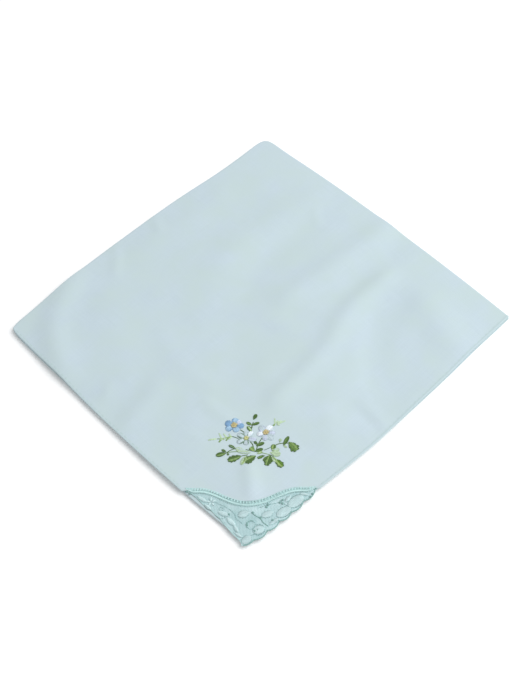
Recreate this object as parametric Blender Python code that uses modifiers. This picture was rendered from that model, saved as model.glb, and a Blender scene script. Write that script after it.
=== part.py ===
"""Linen handkerchief with a lace corner, folded in quarters and lying flat.

Metres, +Z up. The folded square's sides run along X and Y, the underside is at z = 0 and the
origin is under the middle. The square cloth is folded first along the y = +h side, then along
the x = -h side, so four layers lie over each other. All four free corners meet at (+h, -h),
where the top layer ends in a curve and a lace corner takes its place.
"""

import math

import bmesh
import bpy
import numpy as np

# Driving dimensions of the folded square
FOLDED_SIDE = 0.145
LAYER_THICK = 0.0010
LAYER_GAP = 0.0003

# Grid of the flat cloth: steps round each fold, and steps from a fold to its free edge
FOLD_STEPS = 8
FLAT_STEPS = 15

# Outward bow of each side of the folded square, and where along the side it is greatest
#             side     bow      place
SIDE_BOWS = {
    "left":  (0.0034, -0.020),
    "right": (0.0028, -0.005),
    "far":   (0.0022, -0.011),
    "near":  (0.0020, 0.010),
}

# How far the two corners at the main fold are drawn in along the diagonal
CORNER_ROUNDING = 0.0014
CORNER_SHARPNESS = 20

# How far each layer's free corner lies from the top layer's, counted from the bottom layer
#             layer   along x   along y
LAYER_SHIFTS = (
    ("lowest", -0.0016, 0.0011),
    ("second", -0.0012, 0.0009),
    ("third",  -0.0009, 0.0007),
    ("top",     0.0000, 0.0000),
)

# Soft folds that stand on the top layer: start and end, height and half width
#    name               x0      y0      x1      y1     height   width
SOFT_FOLDS = (
    ("far ridge",      0.010,  0.070,  0.002,  0.030,  0.0011,  0.0100),
    ("middle ridge",   0.002,  0.030,  0.003,  0.006,  0.0010,  0.0110),
    ("long ridge",     0.024,  0.052,  0.026,  0.028,  0.0013,  0.0095),
    ("ridge's bend",   0.026,  0.028,  0.038, -0.002,  0.0014,  0.0095),
    ("ridge's end",    0.038, -0.002,  0.034, -0.022,  0.0010,  0.0095),
    ("right swell",    0.060,  0.008,  0.064,  0.026,  0.0008,  0.0130),
    ("left corner",   -0.058, -0.040, -0.046, -0.060,  0.0010,  0.0120),
    ("left side",     -0.062,  0.004, -0.060,  0.026,  0.0008,  0.0130),
    ("near swell",    -0.020, -0.058, -0.022, -0.040,  0.0009,  0.0110),
)
# The soft folds fade out over this distance around the lace
LACE_CLEAR = 0.030

# Lace corner, measured from the free corner: depth runs along the diagonal, reach across it
LACE_DEPTH = 0.0225
LACE_SAG = 0.0032
LACE_SAG_HALF_WIDTH = 0.0190
LACE_LEFT_REACH = 0.0249
LACE_RIGHT_REACH = 0.0262
LACE_TIP_RADIUS = 0.0016
# Gap along the diagonal, so that it is at least 0.3 mm where the seam slopes most
LACE_GAP = 0.00036
SCALLOP_COUNT = 6
SCALLOP_HEIGHT = 0.0010
LACE_SIDE_INSET = 0.0018
CURVE_STEPS = 28
SCALLOP_STEPS = 6

# Colours as seen, red, green and blue out of 255
LINEN_COLOUR = (203, 219, 226)
LACE_COLOUR = (183, 213, 216)
LINEN_ROUGHNESS = 0.85
LACE_ROUGHNESS = 0.80

HALF = FOLDED_SIDE / 2
PITCH = LAYER_THICK + LAYER_GAP
BOTTOM_MIDDLE = LAYER_THICK / 2
STACK_MIDDLE = BOTTOM_MIDDLE + 1.5 * PITCH
TOP_MIDDLE = BOTTOM_MIDDLE + 3 * PITCH
# The lines where the cloth starts to turn round each fold
MAIN_FOLD_X = -HALF + 1.5 * PITCH + LAYER_THICK / 2
FIRST_FOLD_Y = HALF - 0.5 * PITCH - LAYER_THICK / 2


def clear_scene():
    for item in list(bpy.data.objects):
        bpy.data.objects.remove(item, do_unlink=True)


def collection(name):
    made = bpy.data.collections.new(name)
    bpy.context.scene.collection.children.link(made)
    return made


def cloth_material(name, colour, roughness):
    """A matt Principled material; the colour is given as seen and turned into a linear one."""
    material = bpy.data.materials.new(name)
    material.use_nodes = True
    shader = material.node_tree.nodes["Principled BSDF"]
    linear = [((c / 255 + 0.055) / 1.055) ** 2.4 for c in colour]
    shader.inputs["Base Color"].default_value = (*linear, 1.0)
    shader.inputs["Roughness"].default_value = roughness
    shader.inputs["Metallic"].default_value = 0.0
    return material


def turn_and_run(place):
    """Splits a place from -1 to 1 across a fold into the turn round it and the run beyond it.

    The turn goes from -90 to 90 degrees over the fold's own steps, and the run from 0 at the
    fold to 1 at the free edge.
    """
    fold_share = FOLD_STEPS / (FOLD_STEPS + 2 * FLAT_STEPS)
    turn = np.clip(place / fold_share, -1, 1) * math.pi / 2
    run = np.clip((np.abs(place) - fold_share) / (1 - fold_share), 0, 1)
    return turn, run


def arch(along, peak):
    """0 at both ends of a side and 1 at peak, with a parabola on each side of it."""
    span = np.where(along < peak, peak + HALF, HALF - peak)
    return np.clip(1 - ((along - peak) / span) ** 2, 0, 1)


def bow_sides(x, y):
    """Moves points outward by the bow of each side, fading towards the opposite side."""
    right = (np.clip(x / HALF, -1, 1) + 1) / 2
    far = (np.clip(y / HALF, -1, 1) + 1) / 2
    bow = {side: most * arch(y if side in ("left", "right") else x, peak)
           for side, (most, peak) in SIDE_BOWS.items()}
    return (x + bow["right"] * right**2 - bow["left"] * (1 - right) ** 2,
            y + bow["far"] * far**2 - bow["near"] * (1 - far) ** 2)


def round_corners(x, y):
    """Draws the two corners at the main fold in along their diagonals."""
    nearness = np.clip(np.abs(x * y) / HALF**2, 0, 1) ** CORNER_SHARPNESS
    pull = CORNER_ROUNDING * nearness * (x < 0)
    return x + pull, y - np.sign(y) * pull


def soft_relief(x, y):
    """Height of the soft folds: a smooth hump round each line, none near the lace."""
    height = np.zeros_like(x)
    for _name, x0, y0, x1, y1, top, width in SOFT_FOLDS:
        length_squared = (x1 - x0) ** 2 + (y1 - y0) ** 2
        share = np.clip(((x - x0) * (x1 - x0) + (y - y0) * (y1 - y0)) / length_squared, 0, 1)
        away = np.hypot(x - x0 - share * (x1 - x0), y - y0 - share * (y1 - y0))
        height = np.maximum(height, top * np.exp(-((away / width) ** 2)))
    from_corner = np.hypot(x - HALF, y + HALF)
    fade = np.clip((from_corner - LACE_CLEAR) / LACE_CLEAR, 0, 1)
    return height * fade**2 * (3 - 2 * fade)


def fold_cloth(place_x, place_y):
    """Middle surface of the folded cloth for places from -1 to 1 on the flat square.

    The first fold is a half circle that joins two layers at y = +h. The main fold is a half
    circle about the middle of the stack at x = -h, and it carries both layers of the first.
    """
    turn_y, run_y = turn_and_run(place_y)
    rise = 0.5 * PITCH * (1 + np.sin(turn_y))
    y = FIRST_FOLD_Y + 0.5 * PITCH * np.cos(turn_y) - run_y * (FIRST_FOLD_Y + HALF)

    turn_x, run_x = turn_and_run(place_x)
    radius = 1.5 * PITCH - rise
    x = MAIN_FOLD_X - radius * np.cos(turn_x) + run_x * (HALF - MAIN_FOLD_X)
    z = STACK_MIDDLE + radius * np.sin(turn_x)

    x, y = round_corners(*bow_sides(x, y))
    layer = np.where(place_x > 0, np.where(place_y < 0, 3, 2), np.where(place_y < 0, 0, 1))
    shifts = np.array([row[1:] for row in LAYER_SHIFTS])[layer]
    x = x + shifts[..., 0] * run_x * run_y
    y = y + shifts[..., 1] * run_x * run_y
    lift = np.clip((z - BOTTOM_MIDDLE) / (TOP_MIDDLE - BOTTOM_MIDDLE), 0, 1)
    return x, y, z + soft_relief(x, y) * lift


def linen_cloth(parts):
    """The whole square of cloth as one sheet, folded twice and given its thickness."""
    steps = FOLD_STEPS + 2 * FLAT_STEPS
    bpy.ops.mesh.primitive_grid_add(x_subdivisions=steps, y_subdivisions=steps, size=2)
    cloth = bpy.context.object
    cloth.name = cloth.data.name = "linen_cloth"
    cloth.users_collection[0].objects.unlink(cloth)
    parts.objects.link(cloth)
    points = np.empty(len(cloth.data.vertices) * 3)
    cloth.data.vertices.foreach_get("co", points)
    flat = points.reshape(-1, 3)
    folded = np.stack(fold_cloth(flat[:, 0], flat[:, 1]), axis=1)
    cloth.data.vertices.foreach_set("co", folded.ravel())
    cloth.data.update()
    cloth.data.shade_smooth()
    wall = cloth.modifiers.new("Thickness", "SOLIDIFY")
    wall.thickness = LAYER_THICK
    wall.offset = 0
    wall.use_even_offset = True
    cloth.data.materials.append(cloth_material("linen", LINEN_COLOUR, LINEN_ROUGHNESS))
    return cloth


def from_corner(across, depth):
    """World x and y of a point given across and along the diagonal from the free corner."""
    return (HALF + (across - depth) / math.sqrt(2), -HALF + (across + depth) / math.sqrt(2))


def lace_seam(gap):
    """Points of the curve where the cloth ends and the lace begins, from left to right."""
    across = np.linspace(-LACE_LEFT_REACH, LACE_RIGHT_REACH, CURVE_STEPS + 1)
    swing = np.clip(across / LACE_SAG_HALF_WIDTH, -1, 1)
    depth = LACE_DEPTH - LACE_SAG * np.cos(math.pi * swing) + gap
    return list(zip(*from_corner(across, depth)))


def scalloped_side(start, end):
    """Lobes along the lace's outer side: half sine waves that stand out from a straight line."""
    share = np.linspace(0, 1, SCALLOP_COUNT * SCALLOP_STEPS + 1)[1:-1]
    stand = SCALLOP_HEIGHT * np.abs(np.sin(math.pi * share * SCALLOP_COUNT))
    return [(start[0] + s * (end[0] - start[0]) + out, start[1] + s * (end[1] - start[1]))
            for s, out in zip(share, stand)]


def inset_side(start, end):
    """The lace's other side, drawn in from the cloth beneath it by a shallow arc."""
    share = np.linspace(0, 1, SCALLOP_COUNT * 2 + 1)[1:-1]
    return [(start[0] + s * (end[0] - start[0]),
             start[1] + s * (end[1] - start[1]) + LACE_SIDE_INSET * math.sin(math.pi * s))
            for s in share]


def rounded_tip():
    """A quarter circle round the free corner, from the scalloped side to the inset side."""
    centre_x, centre_y = HALF - LACE_TIP_RADIUS, -HALF + LACE_TIP_RADIUS
    turns = np.linspace(0, -math.pi / 2, SCALLOP_STEPS)
    return [(centre_x + LACE_TIP_RADIUS * math.cos(turn),
             centre_y + LACE_TIP_RADIUS * math.sin(turn)) for turn in turns]


def plate(name, outline, bottom, top, target):
    """A flat outline given its thickness, as a mesh with welded caps."""
    curve = bpy.data.curves.new(name, "CURVE")
    curve.dimensions = "2D"
    curve.fill_mode = "BOTH"
    curve.extrude = (top - bottom) / 2
    spline = curve.splines.new("POLY")
    spline.points.add(len(outline) - 1)
    for point, (x, y) in zip(spline.points, outline):
        point.co = (x, y, 0, 1)
    spline.use_cyclic_u = True
    guide = bpy.data.objects.new(name + "_outline", curve)
    guide.location.z = (top + bottom) / 2
    target.objects.link(guide)
    bpy.context.view_layer.update()
    evaluated = guide.evaluated_get(bpy.context.evaluated_depsgraph_get())
    mesh = bpy.data.meshes.new_from_object(evaluated)
    mesh.name = name
    weld(mesh)
    solid = bpy.data.objects.new(name, mesh)
    solid.matrix_world = guide.matrix_world
    target.objects.link(solid)
    bpy.data.objects.remove(guide, do_unlink=True)
    return solid


def weld(mesh):
    shell = bmesh.new()
    shell.from_mesh(mesh)
    bmesh.ops.remove_doubles(shell, verts=shell.verts, dist=1e-6)
    bmesh.ops.recalc_face_normals(shell, faces=shell.faces)
    shell.to_mesh(mesh)
    shell.free()


def lace_corner(parts):
    """The lace corner: a plate level with the top layer, scalloped along one side."""
    seam = lace_seam(0)
    tip = rounded_tip()
    outline = seam + scalloped_side(seam[-1], tip[0]) + tip + inset_side(tip[-1], seam[0])
    lace = plate("lace_corner", outline, TOP_MIDDLE - LAYER_THICK / 2,
                 TOP_MIDDLE + LAYER_THICK / 2, parts)
    lace.data.materials.append(cloth_material("lace", LACE_COLOUR, LACE_ROUGHNESS))
    return lace


def cut_top_corner(cloth, cutters):
    """Cuts the top layer off along the lace's seam, and leaves the layers beneath whole."""
    beyond = 2 * LACE_DEPTH
    end_depth = LACE_DEPTH + LACE_SAG + LACE_GAP
    outline = ([from_corner(-beyond, end_depth)] + lace_seam(LACE_GAP)
               + [from_corner(beyond, end_depth), from_corner(beyond, -beyond),
                  from_corner(-beyond, -beyond)])
    bottom = TOP_MIDDLE - (LAYER_THICK + LAYER_GAP) / 2
    cutter = plate("lace_cutter", outline, bottom, bottom + 3 * PITCH, cutters)
    cutter.hide_render = True
    cutter.display_type = "WIRE"
    cut = cloth.modifiers.new("Lace seam", "BOOLEAN")
    cut.operation = "DIFFERENCE"
    cut.solver = "EXACT"
    cut.object = cutter


clear_scene()
parts = collection("linen_handkerchief")
cutters = collection("cutters")
cloth = linen_cloth(parts)
lace_corner(parts)
cut_top_corner(cloth, cutters)
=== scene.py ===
"""A linen handkerchief folded in quarters, with a lace corner and an embroidered spray.

The scene is in metres with +Z up, and the sizes below are in millimetres. The square of cloth
is folded along its far side (+Y) and then along its left side (-X), so that its four free
corners lie over each other at (+X, -Y). There the top layer ends in a curve, below which the
lace is set in.
"""

import math

import bpy
import numpy as np
from mathutils import Matrix, Vector


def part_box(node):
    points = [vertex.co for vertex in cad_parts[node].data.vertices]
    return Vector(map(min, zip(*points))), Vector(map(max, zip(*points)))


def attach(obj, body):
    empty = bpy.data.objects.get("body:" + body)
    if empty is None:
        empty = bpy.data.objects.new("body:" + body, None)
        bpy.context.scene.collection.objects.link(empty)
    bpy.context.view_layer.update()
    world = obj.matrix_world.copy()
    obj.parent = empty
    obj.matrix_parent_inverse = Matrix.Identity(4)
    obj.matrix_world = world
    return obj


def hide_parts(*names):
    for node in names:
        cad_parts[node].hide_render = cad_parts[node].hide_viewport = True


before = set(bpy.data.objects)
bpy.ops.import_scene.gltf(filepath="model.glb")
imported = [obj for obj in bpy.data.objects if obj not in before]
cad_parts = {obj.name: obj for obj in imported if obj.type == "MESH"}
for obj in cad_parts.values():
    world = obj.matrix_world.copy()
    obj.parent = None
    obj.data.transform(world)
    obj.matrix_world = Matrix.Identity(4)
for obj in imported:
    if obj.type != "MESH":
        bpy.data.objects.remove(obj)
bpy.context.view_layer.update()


# The linen cloth is one square of fine pale blue linen in plain weave, with a narrow hem all
# round. It is folded in half twice and pressed by hand, so the four layers lie close together
# and the top one keeps a few long, soft creases.
MM = 0.001

# Outward bow of each side of the folded square, and where along the side it is greatest
SIDE_BOWS = {"left": (3.4, -20), "right": (2.8, -5), "far": (2.2, -11), "near": (2.0, 10)}
# Small swells and dents in the sides: side, place along it, half width, distance outward
SIDE_SWELLS = (
    ("right", -8, 22, 0.6), ("right", 52, 14, -0.4), ("left", 45, 16, -0.9),
    ("left", -70, 8, 0.5), ("left", 72, 8, 0.6), ("far", -70, 8, 0.6), ("near", -38, 16, -0.3),
)
# How far the cloth stops short of the square at its right and near sides
RIGHT_SHORT, NEAR_SHORT = 1.0, 0.8
# How far the two corners at the main fold are drawn in, and how sharply
CORNER_ROUNDING, CORNER_SHARPNESS = 1.0, 45
# How far the free corner of each layer lies from the top one's, from the lowest layer up
LAYER_SHIFTS = np.array([(-1.6, 1.1), (-1.2, 0.9), (-0.9, 0.7), (0, 0)])

CLOTH_THICK = 0.24
LAYER_PITCH = 0.52
# Distance from the cut edge and thickness there: the rolled hem, then its row of stitches
HEM = np.array([(0, 0), (0.04, 0.20), (0.12, 0.34), (0.30, 0.42), (0.65, 0.42), (0.90, 0.38),
                (1.05, 0.24), (1.20, 0.25), (1.60, CLOTH_THICK)])
HEM_STITCH_LINE = 1.05
FOLD_STEPS, COARSE_STEPS, FINE_STEPS = 16, 40, 124

box_low, box_high = (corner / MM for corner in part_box("linen_cloth"))
HALF = (box_high.x - box_low.x - SIDE_BOWS["left"][0] - SIDE_BOWS["right"][0]) / 2
BOTTOM_MIDDLE = HEM[:, 1].max() / 2
TOP_MIDDLE = BOTTOM_MIDDLE + 3 * LAYER_PITCH
MAIN_FOLD_X = -HALF + 1.5 * LAYER_PITCH + CLOTH_THICK / 2
FIRST_FOLD_Y = HALF - 0.5 * LAYER_PITCH - CLOTH_THICK / 2
MAIN_ARC, FIRST_ARC = math.pi * LAYER_PITCH, math.pi * LAYER_PITCH / 2
# The flat cloth from each fold's middle to its free edge, and its whole side
MAIN_HALF = HALF - MAIN_FOLD_X + MAIN_ARC / 2
FIRST_HALF = FIRST_FOLD_Y + HALF + FIRST_ARC / 2
FLAT_SIDE = 2 * MAIN_HALF

# The lace is set in along a curve across the free corner. Places there are given across the
# diagonal, towards the right, and in depth along it from the corner.
SEAM_DEPTH, SEAM_SAG, SAG_HALF_WIDTH = 22.5, 3.2, 19.0
SEAM_LEFT, SEAM_RIGHT = -24.9, 26.2

# The top layer's low swell: its height, how far from the sides it takes to rise, and how far
# outside them it starts
SWELL, SWELL_REACH, SWELL_START = 0.80, 11.0, 2.0
# Ridges (positive) and troughs of the top layer: half width, height and the line of the crest
CREASES = {
    "far ridge": (6.5, 1.15, ((3, 76), (3, 52), (1, 32), (0, 14))),
    "trough beside it": (5.0, -0.30, ((15, 74), (16, 50), (16, 30), (18, 12))),
    "long ridge": (5.0, 1.05, ((22, 54), (22, 38), (25, 24), (30, 12), (32, -4), (33, -22))),
    "its back": (9.0, 0.60, ((14, 30), (18, 12), (20, -4), (23, -24))),
    "broad foot": (15.0, 1.20, ((34, 14), (36, -2), (35, -18))),
    "right hollow": (6.5, -1.05, ((34, 50), (36, 36), (44, 24), (57, 12))),
    "ridge at the right tip": (8.0, 0.95, ((40, 56), (52, 51), (62, 48), (75, 47))),
    "hollow below it": (7.0, -0.40, ((52, 40), (57, 28), (61, 16))),
    "right side rise": (7.0, 0.90, ((77, 38), (75, 24), (75, 8))),
    "third ridge": (8.0, 0.80, ((-30, 62), (-35, 42), (-36, 24), (-31, 6))),
    "trough between": (6.5, -0.45, ((-20, 60), (-22, 38), (-18, 16), (-12, 2))),
    "middle knoll": (5.0, 0.35, ((3, 8), (13, 5))),
    "left rise": (6.5, 1.30, ((-76, -34), (-71, -43), (-63, -56), (-50, -66), (-36, -71))),
    "behind it": (14.0, 0.50, ((-58, -28), (-44, -44), (-26, -56))),
    "left edge swell": (7.0, 0.40, ((-64, -8), (-62, 10), (-62, 30))),
    "near trough": (4.0, -0.36, ((-14, -48), (-11, -60), (-10, -73))),
    "near swell": (4.6, 0.46, ((-4, -48), (-2, -60), (0, -73))),
    "near dent": (2.5, 0.30, ((-21, -61), (-17, -67))),
    "arc": (4.5, 0.26, ((-26, -29), (-17, -33), (-4, -35), (13, -34))),
    "short crease": (3.0, 0.38, ((12, -40), (19, -40), (27, -39))),
    "shorter crease": (2.0, 0.28, ((18, -56), (25, -52))),
    "ridge under the spray": (3.2, 0.75, ((46, -47), (53, -52), (59, -57))),
    "right short ridge": (3.0, 0.34, ((58, 2), (65, 2), (74, 0))),
    "its trough": (2.2, -0.20, ((60, -2), (67, -2), (75, -4))),
    "foot swell": (6.0, 0.40, ((50, -8), (58, -14), (66, -24))),
    "top patch": (5.0, 0.30, ((-66, 40), (-60, 34))),
    "left side dent": (2.4, 0.35, ((-74, 8), (-66, 5))),
    "lower side dent": (2.4, 0.34, ((-74, -14), (-68, -18), (-62, -24))),
    "far dent": (2.0, 0.22, ((-26, 59), (-19, 53))),
    "under the lace": (9.0, 0.60, ((46, -54), (58, -60), (68, -67))),
}
# Broad unevenness: length of each wave and its height, then how much the waves bend, and
# over how many of their lengths
WAVES = ((61, 0.05), (47, 0.05), (35, 0.04), (26, 0.035), (19, 0.025), (13, 0.016), (9, 0.010))
WAVE_BEND, BEND_LENGTHS = 0.8, 1.7
# How sharply the soft lower limit of the creases sets in
LIMIT_SHARPNESS = 4
# The top layer's near edge lifts off the others beside the lace
EDGE_LIFT, EDGE_LIFT_WIDTH, LIFT_POWER = 0.45, 6.0, 8
EDGE_LIFT_LINE = ((8, -75), (22, -75), (36, -73))


def arch(along, peak):
    """0 at both ends of a side and 1 at peak, with a parabola on each side of it."""
    span = np.where(along < peak, peak + HALF, HALF - peak)
    return np.clip(1 - ((along - peak) / span) ** 2, 0, 1)


def bow_sides(x, y):
    """Moves points outward by the bow of each side, fading towards the opposite side.

    The sides have small swells and dents as well, each a bell curve along the side. The right
    and near sides also stop a little short of the square.
    """
    right = (np.clip(x / HALF, -1, 1) + 1) / 2
    far = (np.clip(y / HALF, -1, 1) + 1) / 2
    along = {"left": y, "right": y, "far": x, "near": x}
    bow = {side: most * arch(along[side], peak) for side, (most, peak) in SIDE_BOWS.items()}
    for side, place, width, outward in SIDE_SWELLS:
        bow[side] = bow[side] + outward * np.exp(-((along[side] - place) / width) ** 2)
    return (x + (bow["right"] - RIGHT_SHORT) * right**2 - bow["left"] * (1 - right) ** 2,
            y + bow["far"] * far**2 - (bow["near"] - NEAR_SHORT) * (1 - far) ** 2)


def round_corners(x, y):
    """Draws the two corners at the main fold in along their diagonals."""
    nearness = np.clip(np.abs(x * y) / HALF**2, 0, 1) ** CORNER_SHARPNESS
    pull = CORNER_ROUNDING * nearness * (x < 0)
    return x + pull, y - np.sign(y) * pull


def smooth_line(points, samples=24):
    """Points along the Catmull-Rom curve through the given ones, with even parameters."""
    points = np.asarray(points, float)
    guides = np.vstack([2 * points[0] - points[1], points, 2 * points[-1] - points[-2]])
    place = np.linspace(0, len(points) - 1, samples)
    first = np.minimum(place.astype(int), len(points) - 2)
    t = (place - first)[:, None]
    a, b, c, d = (guides[first + k] for k in range(4))
    return (2 * b + (c - a) * t + (2 * a - 5 * b + 4 * c - d) * t**2
            + (3 * b - a - 3 * c + d) * t**3) / 2


def path_lengths(points):
    """Length along a path at each of its points: the running sum of its steps."""
    return np.concatenate([[0], np.cumsum(np.hypot(*np.diff(points, axis=0).T))])


def rounded_ridge(x, y, points, width):
    """1 along a line and less beside it, as a normal curve: exp(-(distance / width)^2).

    It is the line's convolution with a round normal curve, so its ends and bends are smooth.
    """
    line = smooth_line(points)
    steps = np.gradient(path_lengths(line))
    ridge = np.zeros(np.shape(x))
    for (px, py), step in zip(line, steps):
        ridge += step * np.exp(-((x - px) ** 2 + (y - py) ** 2) / width**2)
    return ridge / (width * math.sqrt(math.pi))


def relief(x, y):
    """Height of the top layer over a flat one: a low swell, broad waves and every crease.

    The swell falls off exponentially towards the sides. The sum is kept above zero by a soft
    lower limit, log(1 + exp(s z)) / s, so that the layers beneath, which take a share of it,
    stay apart.
    """
    side_x, side_y = (np.clip(HALF + SWELL_START - np.abs(v), 0, None) for v in (x, y))
    inner = (1 - np.exp(-side_x / SWELL_REACH)) * (1 - np.exp(-side_y / SWELL_REACH))
    height = SWELL * inner
    rng = np.random.default_rng(11)
    for length, most in WAVES:
        turn, phase_x, phase_y = rng.uniform(0, 2 * math.pi, 3)
        u = x * math.cos(turn) + y * math.sin(turn)
        v = y * math.cos(turn) - x * math.sin(turn)
        bend = WAVE_BEND * np.sin(2 * math.pi * v / (BEND_LENGTHS * length) + phase_y)
        height = height + most * np.sin(2 * math.pi * u / length + phase_x + bend) * inner
    for width, most, points in CREASES.values():
        height = height + most * rounded_ridge(x, y, points, width)
    return np.log1p(np.exp(LIMIT_SHARPNESS * height)) / LIMIT_SHARPNESS


def layer_height(x, y, level):
    """Height of a layer's middle: level is 0 for the lowest one and 1 for the top one.

    The lift at the near edge goes with a high power of level, so nearly all is in the top one.
    """
    lift = EDGE_LIFT * rounded_ridge(x, y, EDGE_LIFT_LINE, EDGE_LIFT_WIDTH)
    return BOTTOM_MIDDLE + level * (3 * LAYER_PITCH + relief(x, y)) + level**LIFT_POWER * lift


def top_face(x, y):
    """Height of the upper face of the top layer."""
    return layer_height(x, y, 1) + CLOTH_THICK / 2


def fold_cloth(flat_x, flat_y):
    """Plan and level of the folded cloth for places on the flat square, measured from its folds.

    Each place within half an arc of a fold turns round it by up to 90 degrees either way, and
    the rest runs on from it to the free edge. The first fold joins two layers, and the main
    fold carries both of them round the middle of the stack.
    """
    turn_y = np.clip(2 * flat_y / FIRST_ARC, -1, 1) * math.pi / 2
    run_y = np.clip((np.abs(flat_y) - FIRST_ARC / 2) / (FIRST_FOLD_Y + HALF), 0, 1)
    rise = 0.5 * LAYER_PITCH * (1 + np.sin(turn_y))
    y = FIRST_FOLD_Y + 0.5 * LAYER_PITCH * np.cos(turn_y) - run_y * (FIRST_FOLD_Y + HALF)

    turn_x = np.clip(2 * flat_x / MAIN_ARC, -1, 1) * math.pi / 2
    run_x = np.clip((np.abs(flat_x) - MAIN_ARC / 2) / (HALF - MAIN_FOLD_X), 0, 1)
    radius = 1.5 * LAYER_PITCH - rise
    x = MAIN_FOLD_X - radius * np.cos(turn_x) + run_x * (HALF - MAIN_FOLD_X)
    level = (1.5 * LAYER_PITCH + radius * np.sin(turn_x)) / (3 * LAYER_PITCH)

    x, y = round_corners(*bow_sides(x, y))
    layer = np.where(flat_x > 0, np.where(flat_y < 0, 3, 2), np.where(flat_y < 0, 0, 1))
    shift = LAYER_SHIFTS[layer] * (run_x * run_y)[..., None]
    return x + shift[..., 0], y + shift[..., 1], level


def grid_lines(length, arc, near_steps, far_steps):
    """Grid lines of the flat cloth on both sides of a fold, and their distances from the edge.

    They are even round the fold and over each flat half, and close together at the hem.
    """
    def half(steps):
        inner = np.linspace(0, length - HEM[-1, 0], steps + 1)[1:]
        return np.concatenate([inner, length - HEM[-2::-1, 0]])
    near, far = half(near_steps), half(far_steps)
    turns = np.linspace(-arc / 2, arc / 2, FOLD_STEPS + 1)
    lines = np.concatenate([-near[::-1] - arc / 2, turns, far + arc / 2])
    return lines, length + arc / 2 - np.abs(lines)


def from_corner(across, depth):
    """Plan of places given across and along the diagonal from the free corner."""
    return np.stack([HALF + (across - depth) / math.sqrt(2),
                     -HALF + (across + depth) / math.sqrt(2)], axis=-1)


def seam(share, below=0.0):
    """Plan of the seam from its left end, share 0, to its right end, share 1.

    Its depth is a cosine arch that sags towards the corner. below moves it square to itself,
    towards the corner.
    """
    across = SEAM_LEFT + share * (SEAM_RIGHT - SEAM_LEFT)
    swing = np.clip(across / SAG_HALF_WIDTH, -1, 1)
    depth = SEAM_DEPTH - SEAM_SAG * np.cos(math.pi * swing)
    slope = SEAM_SAG * math.pi / SAG_HALF_WIDTH * np.sin(math.pi * swing)
    steep = np.hypot(1, slope)
    return from_corner(across + below * slope / steep, depth - below / steep)


def fit_to_seam(plan, from_x, to_y, lines_x, lines_y):
    """Draws the top layer's free corner back to the seam.

    plan holds x, y and the flat place of each grid point. The block of the grid beyond the
    seam's two ends becomes a Coons patch: its inner borders stay, and its outer ones, the
    cloth's edges, follow the two halves of the seam.
    """
    block = plan[from_x:, :to_y + 1].copy()
    p = ((lines_x[from_x:] - lines_x[from_x]) / (lines_x[-1] - lines_x[from_x]))[:, None, None]
    q = ((lines_y[to_y] - lines_y[:to_y + 1]) / (lines_y[to_y] - lines_y[0]))[None, :, None]
    middle = -SEAM_LEFT / (SEAM_RIGHT - SEAM_LEFT)
    left_end, right_end = block[0, 0], block[-1, -1]

    def edge(share, end, at):
        """Half of the seam, moved to the block's corner at its outer end and less inwards."""
        xy = seam(share)
        both = np.concatenate([xy, xy + (end[2:] - end[:2])], axis=-1)
        fade = np.abs(share - middle) / np.ptp(share)
        return both + (end - both[at]) * fade[:, None]

    near = edge(p[:, 0, 0] * middle, left_end, 0)
    right = edge(1 - q[0, :, 0] * (1 - middle), right_end, -1)
    corner = (near[-1] + right[0]) / 2
    near += (corner - near[-1]) * p[:, 0]
    right += (corner - right[0]) * q[0]
    inner_column, inner_row = block[0], block[:, -1]
    ruled = ((1 - p) * inner_column[None] + p * right[None]
             + (1 - q) * inner_row[:, None] + q * near[:, None])
    corners = ((1 - p) * (1 - q) * block[0, -1] + p * (1 - q) * right_end
               + (1 - p) * q * left_end + p * q * corner)
    plan[from_x:, :to_y + 1] = ruled - corners


def new_piece(name, points, *face_sets):
    """A smooth mesh object from points in millimetres and arrays of faces of equal corners."""
    corners = np.concatenate([faces.ravel() for faces in face_sets]).astype(np.int32)
    counts = np.concatenate([np.full(len(faces), faces.shape[1]) for faces in face_sets])
    mesh = bpy.data.meshes.new(name)
    mesh.vertices.add(len(points))
    mesh.vertices.foreach_set("co", (points * MM).astype(np.float32).ravel())
    mesh.loops.add(len(corners))
    mesh.loops.foreach_set("vertex_index", corners)
    mesh.polygons.add(len(counts))
    mesh.polygons.foreach_set("loop_start", (np.cumsum(counts) - counts).astype(np.int32))
    mesh.update(calc_edges=True)
    mesh.validate()
    mesh.shade_smooth()
    piece = bpy.data.objects.new(name, mesh)
    bpy.context.scene.collection.objects.link(piece)
    return piece


def add_attribute(piece, name, kind, values):
    """Stores one value for each vertex: FLOAT, FLOAT_VECTOR or FLOAT_COLOR."""
    field = {"FLOAT": "value", "FLOAT_VECTOR": "vector", "FLOAT_COLOR": "color"}[kind]
    attribute = piece.data.attributes.new(name, kind, "POINT")
    attribute.data.foreach_set(field, np.asarray(values, np.float32).ravel())


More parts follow.
